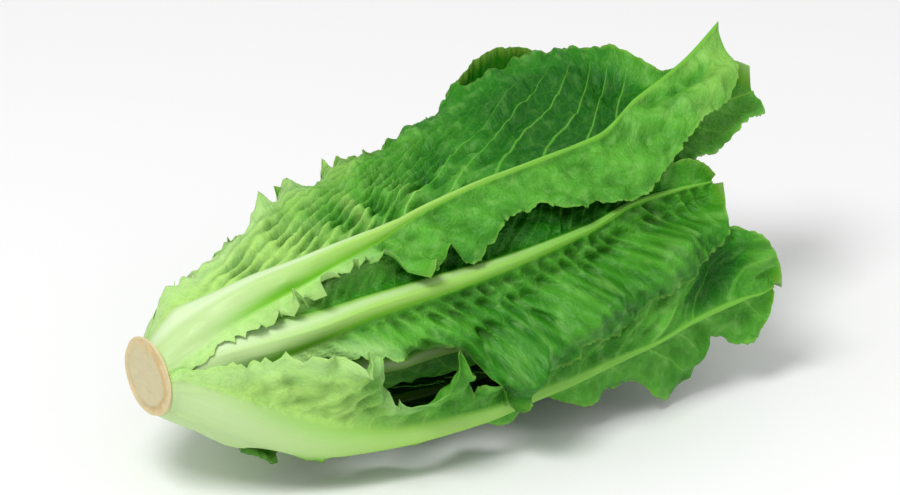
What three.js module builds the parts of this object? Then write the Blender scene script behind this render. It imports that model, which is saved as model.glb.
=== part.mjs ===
// A head of romaine lettuce, cut from its root and lying on its side. It is a short stem with a flat cut end,
// and eighteen leaves that grow from it in a spiral, each one laid over the leaves that are younger than it.
// Millimetres. The head lies along X with the cut end at -X, its leaf tips at +X and the surface at z = 0.
import * as THREE from "three";

// The head's own cylinder: x runs from the cut face along the stem, r out from the axis, and the angle goes
// round the axis in degrees, from 0 at the front (-Y) over 90 at the top to 180 at the back.
const HEAD_LENGTH = 264;
const FLOOR_ANGLE = -90;
const FLOOR_RADIUS = 53;
const FLAT_SHARE = 0.93;

// Radius that the inside of the outermost leaves follows, and radius of the stem, by x.
const HEAD_RADIUS = [
  [4, 12.4], [12, 17.5], [20, 22.5], [30, 28], [42, 34], [60, 42], [90, 50], [130, 55], [200, 57],
  [270, 59],
];
const STEM_RADIUS = [[0, 13.6], [1, 14.4], [3, 14.4], [3.5, 11.8], [18, 11.5], [36, 9], [52, 5.5], [66, 2.5]];
const STEM_LENGTH = 66;
const STEM_SIDES = 20;

// Blades are as thick as this, and a midrib stands out from them by RIB_HEIGHT within RIB_HALF_WIDTH of its
// middle. These two go by the share of the leaf's length.
const BLADE = 1.1;
const GAP = 0.45;
const RIB_HEIGHT = [
  [0, 2.2], [0.06, 5.5], [0.16, 7.5], [0.28, 6.2], [0.42, 4.6], [0.6, 3], [0.8, 1.6], [1, 0.4],
];
const RIB_HALF_WIDTH = [[0, 13], [0.1, 12], [0.22, 8.5], [0.38, 6], [0.6, 4.2], [0.8, 3.2], [1, 2]];

// How far a margin runs ahead of the midrib, for each mm that it is away from it.
const SLANT = 0.35;
const TIP_HALF_WIDTH = 2.5;

// A plain leaf's half width on both sides, as a share of its greatest, by the share of its length.
const LEAF_OUTLINE = [
  [0, 0.3], [0.1, 0.38], [0.3, 0.62], [0.5, 0.86], [0.7, 1], [0.84, 0.94], [0.93, 0.74], [0.98, 0.46],
  [1, 0.24],
];
const WIDEST_ANGLE = 100;

// The leaves from the outermost in. rib lists [x, angle] down the midrib, low and high list [x, half width]
// on the side of the smaller and of the larger angle, and lift lists [x, mm] that the midrib stands off the
// head. rollLow and rollHigh list [x, mm] that a margin turns outwards, and fold is the ridge that the low
// side bends over: [distance from the midrib, height]. A leaf with no lists of its own has the plain outline
// at width. The midrib that the head lies on is lower and broader, by ribRise and ribSpread.
const LEAVES = [
  {
    tip: 237,
    width: 44,
    layer: 0,
    rib: [
      [4, -36], [20, -39], [40, -42], [68, -37.5], [82, -34.5], [99, -32], [121, -29.5], [145, -26],
      [177, -18], [205, -11], [237, -7],
    ],
    high: [
      [4, 13], [12, 18], [22, 24], [44, 34.5], [58, 34], [66, 23.5], [74, 18], [82, 20], [91, 29.5],
      [96, 25], [104, 13], [111, 14], [124, 20], [148, 24], [168, 26], [190, 31], [204, 33], [218, 29],
      [227, 25], [232, 18], [237, 4],
    ],
    low: [
      [4, 9], [10, 6], [24, 8], [38, 10], [56, 13], [75, 9], [100, 7], [135, 7], [150, 12.5], [160, 12.5],
      [171, 16], [180, 20], [192, 26.5], [200, 27.5], [205, 24], [209, 14], [220, 18], [229, 17],
      [234, 14], [237, 4],
    ],
    lift: [[4, 0], [20, 2], [30, 3], [54, 5], [80, 5], [110, 4], [135, 2], [237, 3]],
    rollHigh: [[4, 1], [60, 3], [110, 2], [200, 1], [237, 4]],
    rollLow: [[4, 0], [15, 1], [30, 3], [54, 4], [77, 2], [100, 1], [140, 3], [180, 12], [205, 12], [237, 6]],
  },
  { tip: 244, width: 44, layer: 1, rib: [[4, -168], [120, -174], [244, -168]] },
  {
    tip: 251,
    width: 46,
    layer: 2,
    rib: [
      [5, 73], [38, 66], [58, 62], [82, 61.5], [105, 64], [131, 65.5], [155, 66], [181, 67.5], [207, 78],
      [223, 82], [251, 89],
    ],
    high: [
      [5, 10], [18, 15], [28, 21], [36, 25], [46, 30], [56, 35.5], [80, 42], [102, 43.5], [123, 45],
      [140, 44.5], [157, 41], [178, 39.5], [196, 32], [206, 22], [214, 10], [222, 4], [238, 3.5], [251, 3],
    ],
    low: [
      [5, 12], [16, 10], [30, 12], [42, 12.5], [53, 11], [64, 8.5], [79, 8], [84, 15], [89, 21], [96, 20],
      [101, 16], [109, 23], [117, 21.5], [123, 17.5], [131, 14], [143, 14.5], [160, 20], [167, 19],
      [173, 23.5], [181, 24], [203, 24.5], [212, 21.5], [225, 19.5], [236, 19], [245, 16], [251, 3],
    ],
    lift: [[5, 0], [60, 3], [114, 5], [150, 6], [200, 7], [229, 11], [251, 19]],
    rollHigh: [
      [5, 2], [13, 8], [20, 6], [28, 3], [35, 2], [42, 8], [48, 9.5], [56, 7], [80, 5], [112, 4], [120, 6],
      [126, 10], [135, 13], [150, 14], [165, 16], [178, 18], [196, 17], [204, 16], [212, 11], [225, 5],
      [251, 3],
    ],
    rollLow: [[5, 1], [60, 2], [100, 1], [251, 0]],
  },
  {
    tip: 236,
    width: 44,
    layer: 3,
    rib: [[8, -93], [236, -93]],
    ribRise: 0.6,
    ribSpread: 2.6,
    high: [
      [8, 10], [12, 10.5], [24, 12], [34, 13.5], [45, 11], [60, 12], [75, 16], [120, 22], [180, 24],
      [215, 18], [236, 3],
    ],
    rollHigh: [[8, 3], [18, 8], [28, 14], [38, 10], [48, 3], [60, 0], [236, 0]],
  },
  {
    tip: 238,
    width: 45,
    layer: 4,
    rib: [[10, 142], [60, 138], [238, 134]],
    low: [
      [10, 12], [60, 24], [120, 22], [145, 16], [162, 15.5], [180, 15.5], [200, 20], [225, 14], [238, 3],
    ],
    lift: [[10, 0], [110, 2], [160, 6], [185, 6], [238, 4]],
    rollLow: [[10, 0], [110, 2], [140, 9], [160, 23], [182, 23], [200, 9], [238, 4]],
  },
  {
    tip: 220,
    width: 50,
    layer: 5,
    rib: [
      [13, 32], [22, 31], [49, 29.5], [76, 31.5], [118, 31.4], [166, 34.9], [191, 40], [207, 39.5], [220, 39],
    ],
    low: [
      [13, 9], [40, 11], [54, 11.5], [71, 17], [86, 21], [99, 22.5], [106, 31.5], [112, 38.5], [118, 36.5],
      [127, 32], [135, 31], [152, 31], [179, 27.5], [200, 22.5], [209, 18], [216, 12], [220, 4],
    ],
    high: [[13, 10], [40, 20], [80, 28], [140, 30], [180, 22], [203, 9], [214, 8], [220, 3]],
    lift: [[13, 2], [30, 3], [54, 4], [100, 4], [160, 5], [220, 4]],
    fold: [20, 4],
  },
  { tip: 250, width: 44, layer: 6, rib: [[18, -134], [250, -128]] },
  {
    tip: 263,
    width: 40,
    layer: 7,
    rib: [[22, 82], [120, 78], [263, 80]],
    low: [
      [22, 13], [46, 16], [94, 23], [140, 26], [180, 24], [212, 19], [221, 18.5], [238, 15.5], [246, 13],
      [257, 11], [263, 4],
    ],
    high: [[22, 13], [60, 20], [150, 30], [220, 27], [248, 22], [257, 16], [263, 3]],
    lift: [[22, 0], [150, 4], [263, 6]],
    rollHigh: [[22, 2], [220, 3], [263, 11]],
  },
  { tip: 232, width: 42, layer: 8, rib: [[25, -14], [91, -17], [150, -10], [232, 0]] },
  { tip: 252, width: 42, layer: 9, rib: [[28, 176], [252, 172]] },
  { tip: 240, width: 38, layer: 10, rib: [[31, 40], [240, 46]] },
  { tip: 238, width: 38, layer: 11, rib: [[34, -100], [238, -96]] },
  { tip: 246, width: 35, layer: 12, rib: [[37, 122], [246, 118]] },
  { tip: 230, width: 31, layer: 13, rib: [[40, -20], [230, -14]] },
  { tip: 222, width: 28, layer: 14, rib: [[43, -154], [222, -150]] },
  { tip: 212, width: 24, layer: 15, rib: [[46, 70], [212, 74]] },
  { tip: 200, width: 20, layer: 16, rib: [[49, -66], [200, -62]] },
  { tip: 186, width: 15, layer: 17, rib: [[52, 160], [186, 160]] },
];
const LAYER_STEP = 0.052;

// Rows stand closer towards the tip, and columns towards the midrib.
const ROW_CROWDING = 1.25;
const COLUMN_CROWDING = 1.35;
const ROWS = [25, 25, 25, 25, 25, 25, 16, 16, 16, 16, 14, 14, 14, 12, 12, 12, 10, 10];
const SIDE_COLUMNS = [5, 5, 5, 5, 5, 5, 4, 4, 4, 4, 4, 4, 3, 3, 3, 3, 2, 2];

// Waves of the margin, in and out of the head, and lobes of its outline.
const WAVE_LENGTH = [29, 38];
const WAVE_HEIGHT = 4;
const LOBE_LENGTH = [26, 36];
const LOBE_DEPTH = 0.11;

// What has been laid so far, as the outermost radius in each cell of the head's cylinder.
const COVER_STEP = 1.5;
const COVER_ROWS = Math.ceil(HEAD_LENGTH / COVER_STEP) + 2;
const COVER_COLUMNS = 360 / COVER_STEP;
const SETTLE_ROUNDS = 14;

const radians = THREE.MathUtils.degToRad;
const clamp = THREE.MathUtils.clamp;

// A smooth curve through [place, value] pairs, level beyond its ends.
function curve(points, at) {
  const last = points.length - 1;
  if (at <= points[0][0]) return points[0][1];
  if (at >= points[last][0]) return points[last][1];
  let i = 0;
  while (at > points[i + 1][0]) i++;
  const slope = (a, b) => (points[b][1] - points[a][1]) / (points[b][0] - points[a][0]);
  const span = points[i + 1][0] - points[i][0];
  const t = (at - points[i][0]) / span;
  const chord = slope(i, i + 1);
  const bound = (other) => (other * chord <= 0 ? 0 : (2 * other * chord) / (other + chord));
  const before = i > 0 ? bound(slope(i - 1, i)) : chord;
  const after = i + 1 < last ? bound(slope(i + 1, i + 2)) : chord;
  const start = points[i][1] * (1 + 2 * t) + before * span * t;
  const end = points[i + 1][1] * (3 - 2 * t) - after * span * (1 - t);
  return start * (1 - t) * (1 - t) + end * t * t;
}

// A fixed number from 0 to 1 for each leaf and purpose.
function chance(leaf, purpose) {
  const wide = Math.sin(leaf.layer * 12.9898 + purpose * 78.233) * 43758.5453;
  return wide - Math.floor(wide);
}

// A wave along one side of a leaf, from -1 to 1, whose length lies between the two given.
function swing(leaf, side, lengths, x) {
  const length = lengths[0] + (lengths[1] - lengths[0]) * chance(leaf, 5 + side + lengths[0]);
  const phase = chance(leaf, 9 + side + lengths[1]) * 2 * Math.PI;
  return Math.sin((2 * Math.PI * x) / length + phase);
}

// How much a place faces the surface that the head lies on, from 0 to 1.
function facingDown(angle) {
  return Math.max(0, Math.cos(radians(angle - FLOOR_ANGLE)));
}

// The head is round, and flattened where it rests.
function headRadius(x, angle, share) {
  const round = curve(HEAD_RADIUS, x) * share;
  const flat = FLOOR_RADIUS * (0.35 + 0.65 * Math.min(share, FLAT_SHARE));
  return Math.min(round, flat / Math.max(facingDown(angle), 0.2));
}

// One side of a leaf at a place on its midrib: its half width there, lobes included.
function halfWidth(leaf, side, x) {
  const base = leaf.rib[0][0];
  const t = (x - base) / (leaf.tip - base);
  const list = side > 0 ? leaf.high : leaf.low;
  const plain = list ? curve(list, x) : leaf.width * curve(LEAF_OUTLINE, t);
  const lobes = swing(leaf, side, LOBE_LENGTH, x) * LOBE_DEPTH * Math.sin(Math.PI * t);
  return Math.max(TIP_HALF_WIDTH, plain * (1 + lobes));
}

// A point of a leaf's inner face and the leaf's thickness there. row and reach run from 0 to 1: along the
// midrib, and from the midrib to the margin of one side.
function leafPoint(leaf, row, side, reach) {
  const base = leaf.rib[0][0];
  const x = base + (leaf.tip - base) * row;
  const wide = halfWidth(leaf, side, x);
  const out = wide * reach;
  const share = 1 - LAYER_STEP * leaf.layer;
  const ribAngle = curve(leaf.rib, x);
  const around = Math.max(curve(HEAD_RADIUS, x) * share, 5);
  const turn = Math.min(THREE.MathUtils.radToDeg(wide / around), WIDEST_ANGLE) * reach;
  const ahead = Math.min(x + out * SLANT * (1 - row * row), HEAD_LENGTH);
  const angle = ribAngle + side * turn;
  const settled = Math.min(1, row * 6);
  const lift = leaf.lift ? curve(leaf.lift, x) * (1 - 0.6 * reach) : 0;
  const list = side > 0 ? leaf.rollHigh : leaf.rollLow;
  const roll = (list ? curve(list, x) : 2 + 4 * row * row) * reach * reach;
  const valley = -3.2 * settled * Math.sin(Math.PI * Math.min(1, reach * 1.3)) * Math.min(1, wide / 30);
  const fold = leaf.fold && side < 0 ? leaf.fold[1] * Math.exp(-(((out - leaf.fold[0]) / 12) ** 2)) : 0;
  const waves = swing(leaf, side, WAVE_LENGTH, ahead) * WAVE_HEIGHT * reach ** 3 * settled;
  const free = (1 - facingDown(angle) ** 4) * Math.min(1, share + 0.2);
  const r = headRadius(ahead, angle, share) + (lift + roll + valley + fold + waves) * free;
  const stout = 0.45 + 0.55 * share;
  const height = curve(RIB_HEIGHT, row) * stout * (leaf.ribRise ?? 1);
  const spread = curve(RIB_HALF_WIDTH, row) * stout * (leaf.ribSpread ?? 1);
  const bump = Math.cos((Math.PI / 2) * Math.min(1, out / spread)) ** 2;
  return { x: ahead, angle, r, thick: BLADE + height * bump };
}

// A leaf as a grid of points, from one margin over the midrib to the other.
function leafGrid(leaf, rows, sideColumns) {
  const grid = [];
  for (let i = 0; i <= rows; i++) {
    const row = 1 - (1 - i / rows) ** ROW_CROWDING;
    const line = [];
    for (let j = -sideColumns; j <= sideColumns; j++) {
      const side = j < 0 ? -1 : 1;
      line.push(leafPoint(leaf, row, side, (Math.abs(j) / sideColumns) ** COLUMN_CROWDING));
    }
    grid.push(line);
  }
  return grid;
}

function coverCell(x, angle) {
  const i = clamp(Math.round(x / COVER_STEP), 0, COVER_ROWS - 1);
  const j = ((Math.round(angle / COVER_STEP) % COVER_COLUMNS) + COVER_COLUMNS) % COVER_COLUMNS;
  return i * COVER_COLUMNS + j;
}

// The highest of the four cells round a place.
function coverAt(cover, x, angle) {
  const half = COVER_STEP / 2;
  return Math.max(
    cover[coverCell(x - half, angle - half)],
    cover[coverCell(x - half, angle + half)],
    cover[coverCell(x + half, angle - half)],
    cover[coverCell(x + half, angle + half)],
  );
}

function position(point, r) {
  const a = radians(point.angle);
  return new THREE.Vector3(point.x, -r * Math.cos(a), r * Math.sin(a));
}

// The two triangles of one cell of the grid, split the same way on both faces.
function cellTriangles(i, j) {
  return [
    [[i, j], [i + 1, j], [i + 1, j + 1]],
    [[i, j], [i + 1, j + 1], [i, j + 1]],
  ];
}

function eachTriangle(grid, visit) {
  for (let i = 0; i + 1 < grid.length; i++)
    for (let j = 0; j + 1 < grid[0].length; j++)
      for (const corners of cellTriangles(i, j)) visit(corners.map(([a, b]) => grid[a][b]));
}

const WEIGHTS = [];
const WEIGHT_STEPS = 5;
for (let a = 0; a <= WEIGHT_STEPS; a++)
  for (let b = 0; a + b <= WEIGHT_STEPS; b++)
    WEIGHTS.push([a / WEIGHT_STEPS, b / WEIGHT_STEPS, (WEIGHT_STEPS - a - b) / WEIGHT_STEPS]);

// Moves a leaf out until its inner face clears everything laid before it.
function settle(grid, cover) {
  const wanted = grid.map((line) => line.map((p) => p.r));
  for (let round = 0; round < SETTLE_ROUNDS; round++) {
    eachTriangle(grid, (corners) => {
      for (const weights of WEIGHTS) {
        const at = new THREE.Vector3();
        corners.forEach((p, k) => at.addScaledVector(position(p, p.r), weights[k]));
        const r = Math.hypot(at.y, at.z);
        const angle = THREE.MathUtils.radToDeg(Math.atan2(at.z, -at.y));
        const short = coverAt(cover, at.x, angle) + GAP - r;
        if (short <= 0) continue;
        const total = weights.reduce((sum, w) => sum + w * w, 0);
        corners.forEach((p, k) => (p.r += (short * weights[k]) / total));
      }
    });
    if (round < SETTLE_ROUNDS / 2) smoothPush(grid, wanted);
  }
}

// Spreads the push over the leaf, so that it drapes over what is under it.
function smoothPush(grid, wanted) {
  const push = grid.map((line, i) => line.map((p, j) => p.r - wanted[i][j]));
  for (let i = 1; i + 1 < grid.length; i++)
    for (let j = 0; j < grid[0].length; j++) {
      const left = push[i][Math.max(0, j - 1)];
      const right = push[i][Math.min(grid[0].length - 1, j + 1)];
      const mean = (push[i - 1][j] + push[i + 1][j] + left + right) / 4;
      grid[i][j].r = wanted[i][j] + 0.5 * push[i][j] + 0.5 * mean;
    }
}

// Adds a leaf's outer face to what has been laid.
function layDown(grid, cover) {
  eachTriangle(grid, (corners) => {
    const steps = 14;
    for (let a = 0; a <= steps; a++)
      for (let b = 0; a + b <= steps; b++) {
        const weights = [a / steps, b / steps, (steps - a - b) / steps];
        const mix = (value) => corners.reduce((sum, p, k) => sum + value(p) * weights[k], 0);
        const cell = coverCell(mix((p) => p.x), mix((p) => p.angle));
        cover[cell] = Math.max(cover[cell], mix((p) => p.r + p.thick));
      }
  });
}

// The closed solid between a grid's inner and outer faces.
function leafGeometry(grid) {
  const rows = grid.length;
  const columns = grid[0].length;
  const vertices = [];
  for (const outer of [0, 1])
    for (const line of grid)
      for (const p of line) {
        vertices.push(...position(p, p.r + outer * p.thick));
      }
  const index = (outer, i, j) => (outer * rows + i) * columns + j;
  const faces = [];
  for (let i = 0; i + 1 < rows; i++)
    for (let j = 0; j + 1 < columns; j++)
      for (const corners of cellTriangles(i, j)) {
        const [a, b, c] = corners;
        faces.push(index(1, ...a), index(1, ...b), index(1, ...c));
        faces.push(index(0, ...a), index(0, ...c), index(0, ...b));
      }
  const rim = [];
  for (let j = 0; j + 1 < columns; j++) rim.push([0, j]);
  for (let i = 0; i + 1 < rows; i++) rim.push([i, columns - 1]);
  for (let j = columns - 1; j > 0; j--) rim.push([rows - 1, j]);
  for (let i = rows - 1; i > 0; i--) rim.push([i, 0]);
  rim.forEach((from, k) => {
    const to = rim[(k + 1) % rim.length];
    faces.push(index(0, ...from), index(1, ...to), index(0, ...to));
    faces.push(index(0, ...from), index(1, ...from), index(1, ...to));
  });
  const geometry = new THREE.BufferGeometry();
  geometry.setAttribute("position", new THREE.Float32BufferAttribute(vertices, 3));
  geometry.setIndex(faces);
  geometry.computeVertexNormals();
  return geometry;
}

// The stem: a short cone that leaves stand round, with the cut face and its dried rim at -X.
function stemGeometry() {
  const side = STEM_RADIUS.map(([x, r]) => new THREE.Vector2(r, x));
  const profile = [new THREE.Vector2(0, 0), ...side, new THREE.Vector2(0, STEM_LENGTH)];
  const geometry = new THREE.LatheGeometry(profile, STEM_SIDES);
  geometry.rotateZ(-Math.PI / 2);
  return geometry;
}

const stemColour = new THREE.MeshStandardMaterial({ color: 0xd9cfa8, roughness: 0.7, metalness: 0 });
const outerColour = new THREE.MeshStandardMaterial({ color: 0x4f9a35, roughness: 0.45, metalness: 0 });
const heartColour = new THREE.MeshStandardMaterial({ color: 0xa9cf6a, roughness: 0.45, metalness: 0 });
const FIRST_HEART_LAYER = 10;

function named(name, geometry, material) {
  const mesh = new THREE.Mesh(geometry, material);
  mesh.name = name;
  return mesh;
}

const cover = new Float64Array(COVER_ROWS * COVER_COLUMNS);
for (let i = 0; i < COVER_ROWS; i++)
  for (let j = 0; j < COVER_COLUMNS; j++)
    cover[i * COVER_COLUMNS + j] = i * COVER_STEP < STEM_LENGTH ? curve(STEM_RADIUS, i * COVER_STEP) : 0;

const grids = LEAVES.map((leaf, k) => leafGrid(leaf, ROWS[k], SIDE_COLUMNS[k]));
for (let k = LEAVES.length - 1; k >= 0; k--) {
  settle(grids[k], cover);
  layDown(grids[k], cover);
}

// The head lies on the midrib of its lowest leaf, which is flat there, level with the lowest point of all.
const LOWEST_LEAF = 3;
const REST_START = 84;
const REST_END = 196;
const REST_HALF_WIDTH = 9.5;
const floor = Math.min(...grids.flat(2).map((p) => position(p, p.r + p.thick).z));
for (const p of grids[LOWEST_LEAF].flat()) {
  const at = position(p, p.r);
  const inside = at.x > REST_START && at.x < REST_END && Math.abs(at.y) < REST_HALF_WIDTH;
  if (inside) p.thick = floor / Math.sin(radians(p.angle)) - p.r;
}

const head = new THREE.Group();
head.add(named("stem", stemGeometry(), stemColour));
grids.forEach((grid, k) => {
  const name = "leaf_" + String(k + 1).padStart(2, "0");
  head.add(named(name, leafGeometry(grid), k < FIRST_HEART_LAYER ? outerColour : heartColour));
});
const box = new THREE.Box3().setFromObject(head);
head.position.set(-(box.min.x + box.max.x) / 2, -(box.min.y + box.max.y) / 2, -box.min.z);

export default head;
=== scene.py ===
# A head of romaine lettuce lying on its side: fine leaves and a cut stem in place of the plain solids.
import math

import bmesh
import bpy
import numpy as np
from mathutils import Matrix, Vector


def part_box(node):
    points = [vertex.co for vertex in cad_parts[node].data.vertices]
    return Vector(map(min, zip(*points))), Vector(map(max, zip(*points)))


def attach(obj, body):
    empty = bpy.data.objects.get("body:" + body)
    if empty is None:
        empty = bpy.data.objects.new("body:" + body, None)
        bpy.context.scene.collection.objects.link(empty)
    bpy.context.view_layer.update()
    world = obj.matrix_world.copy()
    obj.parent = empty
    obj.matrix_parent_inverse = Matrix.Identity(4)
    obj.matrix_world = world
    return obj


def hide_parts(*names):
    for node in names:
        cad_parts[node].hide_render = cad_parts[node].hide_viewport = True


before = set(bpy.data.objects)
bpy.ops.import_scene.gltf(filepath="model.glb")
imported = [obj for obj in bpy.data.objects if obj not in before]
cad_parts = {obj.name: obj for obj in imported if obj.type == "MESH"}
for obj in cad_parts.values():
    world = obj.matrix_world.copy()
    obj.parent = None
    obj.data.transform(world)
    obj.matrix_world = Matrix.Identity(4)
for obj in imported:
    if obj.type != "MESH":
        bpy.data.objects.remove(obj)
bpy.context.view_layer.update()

# The head's own cylinder, in mm: x runs from the cut face along the stem, r out from the axis, and the angle
# goes round the axis in degrees, from 0 at the front (-Y) over 90 at the top to 180 at the back.
MM = 0.001
STEM_LOW, STEM_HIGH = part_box("stem")
AXIS_START = Vector((STEM_LOW.x, (STEM_LOW.y + STEM_HIGH.y) / 2, (STEM_LOW.z + STEM_HIGH.z) / 2))
FLOOR_Z = -AXIS_START.z / MM
HEAD_LENGTH = 264

# The head is flattened where it rests: how far out its lower side goes, the part of that which the middle of
# the heart keeps, and the share of the head's radius beyond which a leaf is flattened no less.
FLOOR_ANGLE = -90
FLOOR_RADIUS = 53
FLAT_HEART = 0.35
FLAT_SHARE = 0.93

# Radius that the inside of the outermost leaves follows, and of the stem, by x. Turns round the head take it
# as LEAST_RADIUS at least, and the leaves stand round the stem as if its rim were no wider than NECK_RADIUS.
HEAD_RADIUS = [
    (4, 12.4), (12, 17.5), (20, 22.5), (30, 28), (42, 34), (60, 42), (90, 50), (130, 55), (200, 57),
    (270, 59),
]
LEAST_RADIUS = 5
STEM_RADIUS = [
    (0, 14), (0.3, 14.8), (0.9, 15), (1.6, 11.6), (18, 11.3), (36, 9), (52, 5.5), (66, 2.5),
]
NECK_RADIUS = 11.6

# The bases grow together: they keep within FUSED_RADIUS by x, a little less for each layer and by SLIM_BACK
# less round SLIM_ANGLE. From FUSED_START to FUSED_END this hold on them ends. The first FUSED_LAYERS leaves
# start at FIRST_X.
FUSED_RADIUS = [(1, 14.5), (3, 16), (6, 18.8), (10, 22.5), (16, 28), (22, 33)]
FUSED_STEP = 0.3
FUSED_START = 10
FUSED_END = 22
FUSED_LAYERS = 4
FIRST_X = 1.2
SLIM_BACK = 5
SLIM_ANGLE = 135

# Thickness of a blade, and the space between it and what it covers.
BLADE = 0.6
GAP = 0.25

# A midrib stands out from the blade by RIB_HEIGHT within RIB_HALF_WIDTH of its middle, by share of length.
# Its height stays under RIB_STEEPEST of its half width, and RIB_ROUND is the power that rounds its section.
RIB_HEIGHT = [
    (0, 2.2), (0.06, 5), (0.15, 6.2), (0.24, 5), (0.34, 3.6), (0.48, 2.4), (0.65, 1.5), (0.85, 0.8), (1, 0.3),
]
RIB_HALF_WIDTH = [
    (0, 12), (0.07, 11.5), (0.15, 10), (0.22, 7.6), (0.32, 5.6), (0.45, 4.2), (0.6, 2.9), (0.75, 1.8),
    (0.9, 1.1), (1, 0.6),
]
RIB_STEEPEST = 1.2
RIB_ROUND = 0.9

# The plain outline, as half width by share of length. Its sides run ahead by SLANT, and reach no further
# round the head than WIDEST_ANGLE. Each layer is smaller than the one outside it by LAYER_STEP.
LEAF_OUTLINE = [
    (0, 0.3), (0.1, 0.38), (0.3, 0.62), (0.5, 0.86), (0.7, 1), (0.84, 0.94), (0.93, 0.74), (0.98, 0.44),
    (1, 0.04),
]
TIP_HALF_WIDTH = 1.0
SLANT = 0.35
WIDEST_ANGLE = 100
LAYER_STEP = 0.052

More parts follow.
